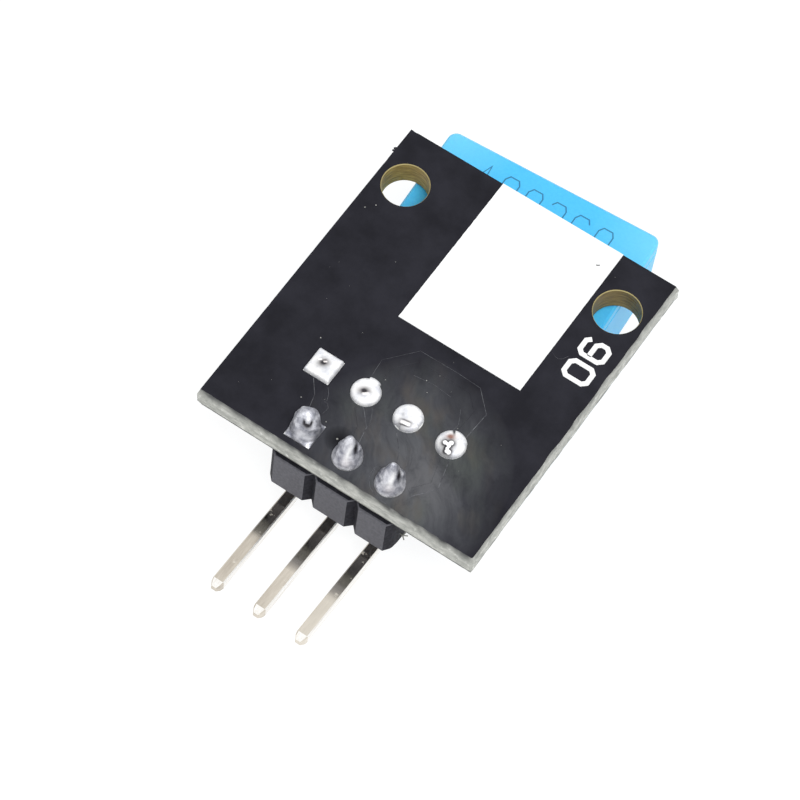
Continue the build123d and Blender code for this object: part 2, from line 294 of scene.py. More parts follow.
def blend(tree, factor, first, second):
    """Mix of two colours."""
    return add_node(tree, "ShaderNodeMix", {0: factor, 6: first, 7: second}, data_type="RGBA").outputs[2]


def tones(tree, value, low, high, first, second):
    """Goes from one colour to another while a value goes from low to high."""
    return blend(tree, levels(tree, value, low, high), first, second)


def maths(tree, operation, a, b):
    """One arithmetic step."""
    return add_node(tree, "ShaderNodeMath", {0: a, 1: b}, operation=operation).outputs[0]


def near_point(tree, x, y, radius):
    """1 at a point of the board, falling to 0 at radius, in millimetres."""
    ends = {0: place_mm(tree, (1.0, 1.0, 0.0)), 1: (x, y, 0.0)}
    gap = add_node(tree, "ShaderNodeVectorMath", ends, operation="DISTANCE")
    return levels(tree, gap.outputs["Value"], radius, 0.0)


def painted(tree, key):
    """A value that the mesh carries at its points."""
    return add_node(tree, "ShaderNodeAttribute", attribute_name=key).outputs["Fac"]


def surface(tree, colour, rough, metallic=0.0, specular=0.5, bump=None, **extra):
    """Principled surface; bump gives the relief, its depth in millimetres and its strength."""
    inputs = {"Base Color": colour, "Roughness": rough, "Metallic": metallic, "Specular IOR Level": specular}
    if bump:
        relief, depth, strength = bump
        sockets = {"Height": relief, "Distance": depth * MM, "Strength": strength}
        inputs["Normal"] = add_node(tree, "ShaderNodeBump", sockets).outputs["Normal"]
    shader = add_node(tree, "ShaderNodeBsdfPrincipled", {**inputs, **extra})
    add_node(tree, "ShaderNodeOutputMaterial", {"Surface": shader.outputs["BSDF"]})


def black_solder_mask_screen_printed(tree):
    """Black screen-printed solder mask: dull gloss with a clouded film of flux round the joints."""
    cloud = speckle(tree, 0.5, 5.0)
    base = tones(tree, cloud, 0.35, 0.65, "#1C1C22", "#28282F")
    haze = near_point(tree, *on_board(10.4, 16.2), 5.6)
    haze = maths(tree, "MAXIMUM", haze, near_point(tree, *on_board(11.9, 17.2), 4.3))
    inner = maths(tree, "MULTIPLY", near_point(tree, *on_board(9.4, 13.3), 3.0), 0.55)
    haze = maths(tree, "MAXIMUM", haze, inner)
    haze = maths(tree, "POWER", levels(tree, haze, 0.0, 0.75), 0.8)
    bend = add_node(tree, "ShaderNodeTexNoise", {"Vector": place_mm(tree), "Scale": 0.35, "Detail": 2.0})
    swirl = {0: bend.outputs["Color"], 1: (2.4, 2.4, 0.0), 2: streaks(tree, (1.1, 0.45, 1.0))}
    push = add_node(tree, "ShaderNodeVectorMath", swirl, operation="MULTIPLY_ADD")
    drift = speckle(tree, 1.0, 6.0, 0.66, vector=push.outputs["Vector"])
    film = maths(tree, "MULTIPLY", haze, levels(tree, drift, 0.28, 0.75, 0.2, 1.0))
    base = blend(tree, film, base, "#5E6064")
    puddle = near_point(tree, *on_board(11.6, 16.9), 2.6)
    base = blend(tree, maths(tree, "MULTIPLY", puddle, levels(tree, drift, 0.3, 0.6)), base, "#646467")
    for scale, tint in ((0.55, "#4C534B"), (0.8, "#5A5146")):
        patch = speckle(tree, scale, rough=0.5, vector=streaks(tree, (1.0, 0.45, 1.0)))
        base = blend(tree, maths(tree, "MULTIPLY", film, levels(tree, patch, 0.5, 0.75)), base, tint)
    blot = maths(tree, "POWER", near_point(tree, *on_board(7.2, 16.95), 0.75), 0.6)
    base = blend(tree, blot, base, "#141418")
    rough = levels(tree, maths(tree, "ADD", cloud, film), 0.3, 1.2, 0.45, 0.65)
    surface(tree, base, rough, specular=0.1, bump=(speckle(tree, 9.0), 0.006, 0.6))


def black_solder_mask_track_flank_highlight(tree):
    """Painted highlight: the same mask in a lighter grey, given to one sloping flank of each track and curl.
    """
    base = tones(tree, speckle(tree, 2.5, 4.0), 0.35, 0.7, "#3A3A40", "#74767A")
    surface(tree, base, 0.45, specular=0.2)


def glass_fibre_board_scored_and_snapped(tree):
    """Snapped glass-fibre board: pale, dry and blotchy, with faint level plies and painted shade on its
    scores.
    """
    plies = speckle(tree, 1.1, 4.0, stretch=(0.5, 0.5, 5.0))
    spots = speckle(tree, 1.6, 5.0, 0.65, stretch=(1.0, 1.0, 1.6))
    base = tones(tree, spots, 0.35, 0.62, "#A2A49F", "#CDCEC8")
    base = blend(tree, levels(tree, plies, 0.55, 0.7, 0.0, 0.4), base, "#777972")
    base = tones(tree, speckle(tree, 3.0), 0.6, 0.72, base, "#E4E5E0")
    # Painted shade: the edge darkens towards its top and bottom faces, as the mesh says.
    base = blend(tree, painted(tree, "edge_shade"), base, "#3A3B3E")
    surface(tree, base, 0.8, specular=0.2, bump=(spots, 0.05, 0.8))


def glass_fibre_board_drilled_wall(tree):
    """Drilled glass-fibre wall: olive resin with level tool rings, with painted shade making it darker brown
    round the right hole.
    """
    rings = speckle(tree, 1.6, 4.0, stretch=(0.8, 0.8, 8.0))
    base = tones(tree, rings, 0.35, 0.65, "#7A6530", "#B9A056")
    base = blend(tree, levels(tree, speckle(tree, 4.0), 0.6, 0.75, 0.0, 0.5), base, "#5C4C24")
    apart, down, _ = SCREW_HOLES
    low, high = board_face()
    # Painted shade: walls near the right screw hole are darkened.
    right_hole_shade = near_point(tree, (low[0] + high[0]) / 2 + apart, high[1] - down, 2.6)
    base = blend(tree, right_hole_shade, base, "#3F3521")
    surface(tree, base, 0.5, specular=0.25, bump=(rings, 0.02, 0.6))


def glass_fibre_board_bare_rim(tree):
    """Resin bared in a hair-thin ring where the drill broke the mask."""
    surface(tree, "#B6A873", 0.5, specular=0.4)


def white_marking_ink_screen_printed(tree):
    """Thick white marking ink, screen printed: flat, matt and nearly pure white."""
    grain = speckle(tree, 14.0)
    tone = tones(tree, grain, 0.3, 0.7, "#F6F8F8", "#FCFCFC")
    surface(tree, tone, 0.7, specular=0.25, bump=(grain, 0.004, 0.5))


def tin_hot_air_levelled(tree):
    """Hot-air levelled tin on copper: pale, soft metal with small ripples."""
    ripple = speckle(tree, 5.0, rough=0.5)
    rough = levels(tree, ripple, 0.3, 0.7, 0.28, 0.45)
    surface(tree, "#E4E5E3", rough, metallic=1.0, bump=(ripple, 0.02, 0.5))


def frozen_solder(tree, dark, light, rough, metal, wrinkle_mm):
    """Solder whose mesh says where resin lies and where shade and highlights are painted."""
    wrinkle = speckle(tree, 3.9, 5.0, 0.62)
    patch = speckle(tree, 1.9, 5.0, 0.65)
    tone = tones(tree, patch, 0.36, 0.6, dark, light)
    # Painted light from the mesh: near-black for shade and dark reflections, white for highlights; the brown
    # is resin.
    for key, tint in (("painted_highlight", "#FDFDFD"), ("resin", "#9A7468"), ("painted_shade", "#323034")):
        tone = blend(tree, painted(tree, key), tone, tint)
    dull = levels(tree, patch, 0.3, 0.7, rough, rough + 0.2)
    surface(tree, tone, dull, metallic=metal, bump=(wrinkle, wrinkle_mm, 0.6))


def solder_bright_frozen(tree):
    """Flat hand-soldered joint on a lead: almost white metal, wrinkled as it froze."""
    frozen_solder(tree, "#DADCE3", "#FCFCFC", 0.5, 0.5, 0.03)


def solder_dull_drawn_up(tree):
    """Drawn-up solder cone: greyer metal, mottled and half dull, with painted shade and highlights."""
    frozen_solder(tree, "#8B8D99", "#D9DAE0", 0.4, 0.8, 0.09)


def tinned_square_wire_drawn(tree):
    """Tin over square drawn wire: warm silver that mirrors what stands near, with a painted dark reflection
    near the housing and a painted sheen.
    """
    lines = speckle(tree, 1.2, 4.0, stretch=(3.0, 0.4, 3.0))
    broad = speckle(tree, 1.0, 2.0, 0.5, stretch=(0.6, 0.15, 0.6))
    tone = maths(tree, "ADD", maths(tree, "MULTIPLY", lines, 0.5), maths(tree, "MULTIPLY", broad, 0.5))
    base = tones(tree, tone, 0.38, 0.62, "#B3AA9D", "#DBD3C6")
    # Painted sheen lightens each pin by a set amount; painted dark reflection of the strip and board darkens
    # it near the strip.
    base = blend(tree, painted(tree, "painted_sheen"), base, "#F4EEE2")
    base = blend(tree, painted(tree, "dark_reflection"), base, "#85817D")
    spots = levels(tree, speckle(tree, 1.5, 4.0), 0.64, 0.7)
    base = blend(tree, maths(tree, "MULTIPLY", spots, 0.6), base, "#E9E3D8")
    rough = maths(tree, "ADD", levels(tree, lines, 0.3, 0.7, 0.08, 0.14), maths(tree, "MULTIPLY", spots, 0.4))
    surface(tree, base, rough, metallic=1.0, bump=(lines, 0.003, 0.4))


def tinned_square_wire_side_highlight(tree):
    """Painted highlight: a near-white, rougher copy of the same wire, given to its sides, two bevels and one
    face of its tapered end.
    """
    lines = speckle(tree, 1.2, 4.0, stretch=(5.0, 0.3, 5.0))
    surface(tree, tones(tree, lines, 0.35, 0.65, "#ECE8E1", "#FCFBF9"), 0.25, metallic=0.9)


def blue_plastic_injection_moulded(tree):
    """Sky-blue moulded plastic: soft satin, a little light goes into it, with painted light making it paler
    towards its ends.
    """
    grain = speckle(tree, 6.0)
    tone = tones(tree, grain, 0.3, 0.7, "#4CC1FC", "#54C8FF")
    low, high = node_box("sensor_back_cover")
    # Painted light: the cover is lightened near its left and right ends.
    for x, radius in ((low[0], 4.0), (high[0], 4.5)):
        end = maths(tree, "MULTIPLY", near_point(tree, x, high[1], radius), 0.6)
        tone = blend(tree, end, tone, "#8CE0FF")
    inside = {"Subsurface Weight": 0.25, "Subsurface Radius": (0.2, 0.5, 0.9), "Subsurface Scale": 0.4 * MM}
    surface(tree, tone, 0.42, specular=0.4, bump=(grain, 0.004, 0.5), **inside)


def blue_plastic_laser_etched(tree):
    """Laser line burnt into the blue cover: darker and dull."""
    surface(tree, "#3A7EA6", 0.7, specular=0.2)


def black_plastic_glass_filled(tree):
    """Black glass-filled plastic of the header strip: greyish satin with a fine grain."""
    grain = speckle(tree, 7.0, 4.0)
    tone = tones(tree, grain, 0.35, 0.65, "#545459", "#63636A")
    surface(tree, tone, 0.6, specular=0.3, bump=(grain, 0.008, 0.5))


def black_plastic_shaded_and_snapped(tree):
    """The same plastic, darker and rougher: painted shade on the notch faces, chamfers and top under the
    board, and the torn faces where the strip was snapped.
    """
    grain = speckle(tree, 5.0, 4.0)
    tone = tones(tree, grain, 0.35, 0.7, "#1D1D22", "#303037")
    surface(tree, tone, 0.7, specular=0.15, bump=(grain, 0.03, 0.8))


def green_solder_mask(tree):
    """Green mask of the small board inside the sensor: smooth and glossy."""
    surface(tree, "#1E5A36", 0.35)


def white_ceramic_fired(tree):
    """Fired white ceramic of the humidity plate: dry and chalky."""
    surface(tree, "#DAD6CC", 0.65, bump=(speckle(tree, 8.0), 0.01, 0.5))


def black_epoxy_poured(tree):
    """Black epoxy that was dropped on liquid: deep gloss."""
    surface(tree, "#17171A", 0.22)


def dust_dry(tree):
    """A speck of lint or mineral dust: dry and pale."""
    surface(tree, "#A9A9A4", 0.9, specular=0.1)


def resin_crumb_burnt(tree):
    """A dark crumb of burnt resin on the edge: rough and nearly black."""
    surface(tree, "#35353A", 0.8, specular=0.2)


def background_rays(tree):
    """1 for the rays that show the background: straight, mirrored or through glass."""
    path = add_node(tree, "ShaderNodeLightPath")
    seen = maths(tree, "MAXIMUM", path.outputs["Is Camera Ray"], path.outputs["Is Glossy Ray"])
    return maths(tree, "MAXIMUM", seen, path.outputs["Is Transmission Ray"])


def paper_floor(tree):
    """Pale paper that shows plain white behind the module and still takes its shadow."""
    paper = add_node(tree, "ShaderNodeBsdfDiffuse", {"Color": "#F2F2F2"})
    faint = add_node(tree, "ShaderNodeBsdfDiffuse", {"Color": (0.2, 0.2, 0.2, 1.0)})
    glow = add_node(tree, "ShaderNodeEmission", {"Color": "#FFFFFF", "Strength": 0.88})
    white = add_node(tree, "ShaderNodeAddShader", {0: faint.outputs[0], 1: glow.outputs[0]})
    sockets = {0: background_rays(tree), 1: paper.outputs[0], 2: white.outputs[0]}
    both = add_node(tree, "ShaderNodeMixShader", sockets)
    add_node(tree, "ShaderNodeOutputMaterial", {"Surface": both.outputs[0]})


MAKERS = {
    "mask": black_solder_mask_screen_printed,
    "track": black_solder_mask_track_flank_highlight,
    "cut_fibre": glass_fibre_board_scored_and_snapped,
    "drilled_fibre": glass_fibre_board_drilled_wall,
    "rim": glass_fibre_board_bare_rim,
    "ink": white_marking_ink_screen_printed,
    "tin": tin_hot_air_levelled,
    "bright_solder": solder_bright_frozen,
    "dull_solder": solder_dull_drawn_up,
    "pin": tinned_square_wire_drawn,
    "pin_side": tinned_square_wire_side_highlight,
    "blue": blue_plastic_injection_moulded,
    "etch": blue_plastic_laser_etched,
    "black": black_plastic_glass_filled,
    "snapped": black_plastic_shaded_and_snapped,
    "green": green_solder_mask,
    "ceramic": white_ceramic_fired,
    "epoxy": black_epoxy_poured,
    "dust": dust_dry,
    "soot": resin_crumb_burnt,
    "paper": paper_floor,
}
made_materials = {}


def material_for(key):
    """Each material is made once, when it is first asked for, and named as its maker."""
    if key not in made_materials:
        material = bpy.data.materials.new(MAKERS[key].__name__)
        material.use_nodes = True
        material.node_tree.nodes.clear()
        MAKERS[key](material.node_tree)
        made_materials[key] = material
    return made_materials[key]


# Shapes


def ring_quads(start, rings, count, flip=False):
    """Quads that join closed rings of count points, the first of them at start."""
    quads = []
    for ring in range(rings):
        a = start + ring * count
        b = a + count
        for i in range(count):
            j = (i + 1) % count
            quads.append((a + i, a + j, b + j, b + i) if flip else (a + i, b + i, b + j, a + j))
    return quads


def offset_path(path, half, closed=False):
    """Left and right side of a path with mitred corners."""
    count = len(path)
    left, right = [], []
    for i, (x, y) in enumerate(path):
        before = path[i - 1] if i or closed else None
        after = path[(i + 1) % count] if i < count - 1 or closed else None
        normals = []
        for a, b in ((before, (x, y)), ((x, y), after)):
            if a is None or b is None:
                continue
            run = Vector((b[0] - a[0], b[1] - a[1])).normalized()
            normals.append(Vector((-run.y, run.x)))
        mean = sum(normals, Vector((0.0, 0.0))).normalized()
        reach = half / max(0.35, mean.dot(normals[0]))
        left.append((x + mean.x * reach, y + mean.y * reach))
        right.append((x - mean.x * reach, y - mean.y * reach))
    return left, right


def raised_stroke(points, faces, path, half_foot, half_top, z_foot, z_top, closed=False):
    """Adds a closed bar with sloping flanks along a path to points and faces."""
    foot_left, foot_right = offset_path(path, half_foot, closed)
    top_left, top_right = offset_path(path, half_top, closed)
    start = len(points)
    for i in range(len(path)):
        points += [(*foot_left[i], z_foot), (*top_left[i], z_top)]
        points += [(*top_right[i], z_top), (*foot_right[i], z_foot)]
    spans = len(path) if closed else len(path) - 1
    for i in range(spans):
        a = start + 4 * i
        b = start + 4 * ((i + 1) % len(path))
        for k in range(4):
            j = (k + 1) % 4
            faces.append((a + k, b + k, b + j, a + j))
    if not closed:
        last = start + 4 * (len(path) - 1)
        faces.append((start, start + 1, start + 2, start + 3))
        faces.append((last + 3, last + 2, last + 1, last))


OVAL = [(0.2, 0), (0.8, 0), (1, 0.16), (1, 0.84), (0.8, 1), (0.2, 1), (0, 0.84), (0, 0.16)]
SIX = [(1, 0.84), (0.8, 1), (0.2, 1), (0, 0.84), (0, 0.16), (0.2, 0), (0.8, 0), (1, 0.16), (1, 0.4)]
SIX += [(0.8, 0.56), (0.06, 0.56)]
# Strokes of the plain figures in a unit square, and whether they close
FIGURES = {
    "0": (OVAL, True),
    "6": (SIX, False),
    "4": ([(0.7, 0), (0.5, 1), (0, 0.32), (1, 0.32)], False),
    "2": ([(0, 0.84), (0.2, 1), (0.8, 1), (1, 0.84), (1, 0.6), (0, 0), (1, 0)], False),
}


def figure_stroke(figure, to_place, half, z_foot, z_top):
    """The raised stroke of one figure; to_place turns its unit square into the row frame."""
    path, closed = FIGURES[figure]
    return [to_place(*spot) for spot in path], half, half * 0.85, z_foot, z_top, closed


def settle_strokes(name, look, strokes):
    """Makes one piece of raised strokes and fixes it to the module."""
    points, faces = [], []
    for stroke in strokes:
        raised_stroke(points, faces, *stroke)
    settle(new_piece(name, points, faces, [look]))


def side_points(low, high, step):
    """Points round the board's face with the outward direction at each, corners mitred."""
    corners = [(low[0], low[1]), (high[0], low[1]), (high[0], high[1]), (low[0], high[1])]
    outward = [(0, -1), (1, 0), (0, 1), (-1, 0)]
    found = []
    for k in range(4):
        a = Vector(corners[k])
        b = Vector(corners[(k + 1) % 4])
        count = max(2, round((b - a).length / step))
        before = outward[k - 1]
        found.append((a.copy(), Vector((before[0] + outward[k][0], before[1] + outward[k][1])), k))
        for i in range(1, count):
            found.append((a.lerp(b, i / count), Vector(outward[k]), k))
    return found


def circle_points(cx, cy, radius, count):
    """Points of a circle."""
    turns = [2 * math.pi * i / count for i in range(count)]
    return [(cx + radius * math.cos(t), cy + radius * math.sin(t)) for t in turns]


def board_holes():
    """Centre, radius and rim of each hole in the board: two for screws, the others for leads."""
    low, high = board_face()
    apart, down, radius = SCREW_HOLES
    middle = (low[0] + high[0]) / 2
    found = [(middle + side * apart, high[1] - down, radius, BARE_RING, 96) for side in (-1, 1)]
    found += [(*centre_of(f"sensor_pad_{number}"), LEAD_BORE, 0.0, 32) for number in range(1, 5)]
    found += [(*centre_of(f"header_pad_{number}"), PIN_BORE, 0.0, 32) for number in range(1, 4)]
    return found


def leg_point(x, across, along):
    """Point of the tilted header: across its strip and up along its pins."""
    tilt = bpy.context.scene.sensor_module.header_tilt
    y = centre_of("header_pad_2")[1] + across * math.cos(tilt) + along * math.sin(tilt)
    return (x, y, board_middle() - across * math.sin(tilt) + along * math.cos(tilt))


def half_width(reach, square, angle):
    """How far a round or square pad reaches at an angle, the corners of the square cut."""
    if not square:
        return reach
    return min(reach / max(abs(math.cos(angle)), abs(math.sin(angle))), reach * 1.38)


def to_view(x, y):
    """Turns a step over the board to right and up as the module is mostly looked at."""
    turn = math.radians(VIEW_TURN)
    return x * math.cos(turn) + y * math.sin(turn), y * math.cos(turn) - x * math.sin(turn)


def new_joint(name, look, rings, turns, spot_at, rising=False):
    """Makes solder ring by ring; spot_at gives a point and its painted shade, resin and painted highlight."""
    points = []
    tints = {"painted_shade": [], "resin": [], "painted_highlight": []}
    for ring in range(rings + 1):
        for turn in range(turns):
            point, paint = spot_at(ring / rings, 2 * math.pi * turn / turns)
            points.append(point)
            for key, value in zip(tints, paint):
                tints[key].append(clamp(value))
    faces = ring_quads(0, rings, turns, flip=rising)
    if rising:
        faces.append(tuple(range(rings * turns, len(points))))
    return new_piece(name, points, faces, [look], smooth=True, tints=tints)


# Pieces


class SENSOR_OT_board(bpy.types.Operator):
    """Builds the board with its masked faces, drilled walls and torn, V-scored edges"""

    bl_idname = "sensor_module.board"
    bl_label = "Board"

    def execute(self, context):
        points, edge_shade, count = self.torn_edge(context.scene.sensor_module)
        faces = ring_quads(0, len(EDGE_ROWS) - 1, count)
        picks = [1] * len(faces)
        holes = board_holes()
        top_rim, low_rim = points[:count], points[-count:]
        self.add_sheet(points, faces, top_rim, holes)
        self.add_sheet(points, faces, low_rim, holes, down=True)
        picks += [0] * (len(faces) - len(picks))
        z_top, z_bottom = top_rim[0][2], low_rim[0][2]
        for cx, cy, radius, lip, turns in holes:
            stack = [(z_top, radius + lip), (z_top - RING_DEEP, radius)]
            stack += [(z_bottom + RING_DEEP, radius), (z_bottom, radius + lip)]
            faces += ring_quads(len(points), 3, turns, flip=True)
            picks += [3] * turns + [2] * turns + [3] * turns
            for z, r in stack:
                points.extend((*p, z) for p in circle_points(cx, cy, r, turns))
        looks = ["mask", "cut_fibre", "drilled_fibre", "rim"]
        edge_shade += [0.0] * (len(points) - len(edge_shade))
        board = new_piece("board_visual", points, faces, looks, picks, tints={"edge_shade": edge_shade})
        settle(board, ["circuit_board"])
        return {"FINISHED"}

    def torn_edge(self, settings):
        """Points down the snapped edge row by row, the painted shade in its scores, and how many a row has.
        """
        out = settings.score_out / MM
        tear = settings.edge_tear / MM
        step = settings.edge_step / MM
        rim = side_points(*board_face(), step)
        middle, half = board_middle(), board_top() - board_middle()
        points, edge_shade = [], []
        for level in EDGE_ROWS:
            for i, (base, outward, side) in enumerate(rim):
                run = i * step
                torn = 0.5 + 0.5 * wobble(run * 0.7, 4.0, side) + 0.35 * wobble(run * 2.3, 8.0, side)
                width = out * (min(1.0, max(0.15, torn)) if side == RIGHT_SIDE else 1.0)
                reach = width * min(1.0, (1 - abs(level)) / 0.62)
                if abs(level) < 1.0:
                    rough = 0.6 * wobble(run * 1.1, level * 3.0, side)
                    rough += 0.4 * wobble(run * 4.5, level * 9.0, 5.0)
                    depth = tear if abs(level) < WEB_SHARE else tear * 0.35
                    reach -= depth * (0.5 + 0.5 * rough)
                else:
                    chip = wobble(run * 2.3, 3.0 * level, 11.0)
                    reach -= max(0.0, chip - 0.25) * 0.06
                    if side == RIGHT_SIDE:
                        reach -= 0.09 * max(0.0, wobble(run * 0.8, 5.0 * level, 2.0) + 0.1)
                x, y = base + outward * reach
                points.append((x, y, middle + half * level))
                # Painted shade on the scores, weaker on the right side than on the others.
                deep = 0.42 if side == RIGHT_SIDE else 0.75
                patchy = 1 + 0.6 * wobble(run * 1.7, level * 2.0, 13.0)
                edge_shade.append(clamp(deep * patchy * (abs(level) - SCORE_SHADE_SHARE) / 0.55))
        return points, edge_shade, len(rim)

    def add_sheet(self, points, faces, rim, holes, down=False):
        """Adds the flat face inside a rim, open at the holes, that looks up or down."""
        flat = [spot[:2] for spot in rim]
        edges = [(i, (i + 1) % len(rim)) for i in range(len(rim))]
        for cx, cy, radius, lip, turns in holes:
            first = len(flat)
            flat.extend(circle_points(cx, cy, radius + lip, turns))
            edges.extend((first + i, first + (i + 1) % turns) for i in range(turns))
        corners, _, cells, _, _, _ = delaunay_2d_cdt([Vector(p) for p in flat], edges, [], 1, 1e-7)
        start = len(points)
        points.extend((c.x, c.y, rim[0][2]) for c in corners)
        for cell in cells:
            if not self.in_hole([corners[v] for v in cell], holes):
                faces.append(tuple(start + v for v in (reversed(cell) if down else cell)))

    def in_hole(self, cell, holes):
        """Whether all corners of a cell lie in or on one hole."""
        for cx, cy, radius, lip, _ in holes:
            if all(math.hypot(c.x - cx, c.y - cy) < (radius + lip) * 1.001 for c in cell):
                return True
        return False


class SENSOR_OT_tracks(bpy.types.Operator):
    """Lays the copper tracks that show as low ridges under the mask"""

    bl_idname = "sensor_module.tracks"
    bl_label = "Tracks"

    def execute(self, context):
        height = context.scene.sensor_module.track_height / MM
        top = board_top()
        loop = [(6.83, 13.3), (6.72, 12.17), (7.85, 10.83), (9.9, 10.8)]
        loop += [(11.2, 10.85), (12.1, 11.75), (12.0, 13.3)]
        tracks = [
            (loop, 0.27),
            ([(4.4, 14.75), (5.0, 15.5), (5.3, 16.6)], 0.2),
            ([(7.0, 14.9), (7.75, 15.75), (7.95, 16.8)], 0.2),
            ([(9.5, 14.9), (10.2, 15.7), (10.6, 16.6)], 0.2),
            ([(12.1, 14.9), (12.5, 16.4), (11.7, 17.4)], 0.2),
        ]
        points, faces = [], []
        for path, half in tracks:
            run = [on_board(*spot) for spot in path]
            raised_stroke(points, faces, run, half + 0.06, half, top - 0.02, top + height)
        # Curled ridges that the flux left as it dried
        curls = [
            [(9.78, 16.87), (9.53, 17.28), (9.62, 17.82), (9.97, 18.26), (10.52, 18.5), (11.11, 18.55)],
            [(9.52, 17.68), (9.61, 17.36), (9.57, 17.26)],
            [(5.43, 15.63), (5.62, 15.63), (5.79, 15.82), (5.8, 16.05), (5.75, 16.25)],
            [(13.14, 6.81), (13.36, 6.93), (13.58, 6.97), (13.8, 6.8), (13.93, 6.53)],
            [(7.6, 14.6), (7.9, 15.1), (8.0, 15.7), (7.85, 16.3)],
            [(8.2, 11.9), (9.3, 11.75), (10.4, 11.85)],
            [(11.2, 12.1), (11.6, 12.9), (11.5, 13.6)],
            [(5.1, 14.9), (5.35, 15.2), (5.5, 15.6)],
        ]
        for path in curls:
            run = [on_board(*spot) for spot in path]
            raised_stroke(points, faces, run, 0.045, 0.01, top - 0.01, top + 0.008)
        # Painted highlight: one flank of each ridge takes the lighter grey mask, the other faces keep the
        # plain mask.
        picks = []
        for k, face in enumerate(faces):
            picks.append(int(k % 4 == 0 and min(points[v][2] for v in face) < top))
        piece = new_piece("tracks_visual", points, faces, ["mask", "track"], picks)
        settle(piece)
        return {"FINISHED"}


class SENSOR_OT_marks(bpy.types.Operator):
    """Prints the white panel and two plain figures, and marks the blue cover"""

    bl_idname = "sensor_module.marks"
    bl_label = "Marks"

    def execute(self, context):
        settings = context.scene.sensor_module
        self.print_panel()
        self.print_figures(settings.stroke_width / MM / 2)
        self.nick_panel()
        self.etch_figures(settings.etch_width / MM / 2)
        return {"FINISHED"}

    def print_panel(self):
        """The white panel with its faintly ragged sides."""
        low, high = node_box("white_label")
        ragged = []
        steps = 120
        for i in range(steps + 1):
            y = low[1] + (high[1] - low[1]) * i / steps
            ragged.append((low[0] + 0.03 * abs(wobble(y * 2.1, 2.0)) + 0.012 * abs(wobble(y * 9.0, 4.0)), y))
        for i in range(steps + 1):
            y = high[1] - (high[1] - low[1]) * i / steps
            ragged.append((high[0] - 0.02 * abs(wobble(y * 7.0, 9.0)), y))
        count = len(ragged)
        points = [(x, y, z) for z in (high[2], low[2]) for x, y in ragged]
        faces = [tuple(reversed(range(count))), tuple(range(count, 2 * count))]
        faces += ring_quads(0, 1, count, flip=True)
        panel = new_piece("label_visual", points, faces, ["ink"])
        settle(panel, ["white_label"])

    def nick_panel(self):
        """The dark nick in the panel's print."""
        top = node_box("white_label")[1][2]
        nick = [on_board(12.2, 1.32), on_board(12.28, 1.28), on_board(12.37, 1.21)]
        stroke = (nick, 0.035, 0.025, top - 0.005, top + 0.006)
        settle_strokes("label_nick", "soot", [stroke])

    def print_figures(self, half):
        """The two figures beside the panel, which read from the board's right side."""
        top = board_top()
        wide, tall, foot_line = 0.98, 1.35, 15.5
        strokes = []
        for figure, down in (("0", 7.0), ("6", 5.52)):

            def place(across, up):
                return on_board(foot_line - tall * up, down - wide * (across - 0.5))

            strokes.append(figure_stroke(figure, place, half, top - 0.01, top + 0.03))
        settle_strokes("figures_visual", "ink", strokes)

    def etch_figures(self, half):
        """The row of figures on the sensor's cover, turned a little less than the sensor."""
        top = node_box("sensor_back_cover")[1][2]
        wide, tall, pitch, far = 0.85, 1.7, 1.41, 6.78
        turn = math.radians(1.9)
        strokes = []
        for k, figure in enumerate("400260"):

            def place(across, up):
                x = pitch * (k - 2.5) + wide * (across - 0.5)
                y = far - tall * (1 - up)
                return x * math.cos(turn) - y * math.sin(turn), x * math.sin(turn) + y * math.cos(turn)

            strokes.append(figure_stroke(figure, place, half, top - 0.02, top + 0.004))
        settle_strokes("etched_figures", "etch", strokes)


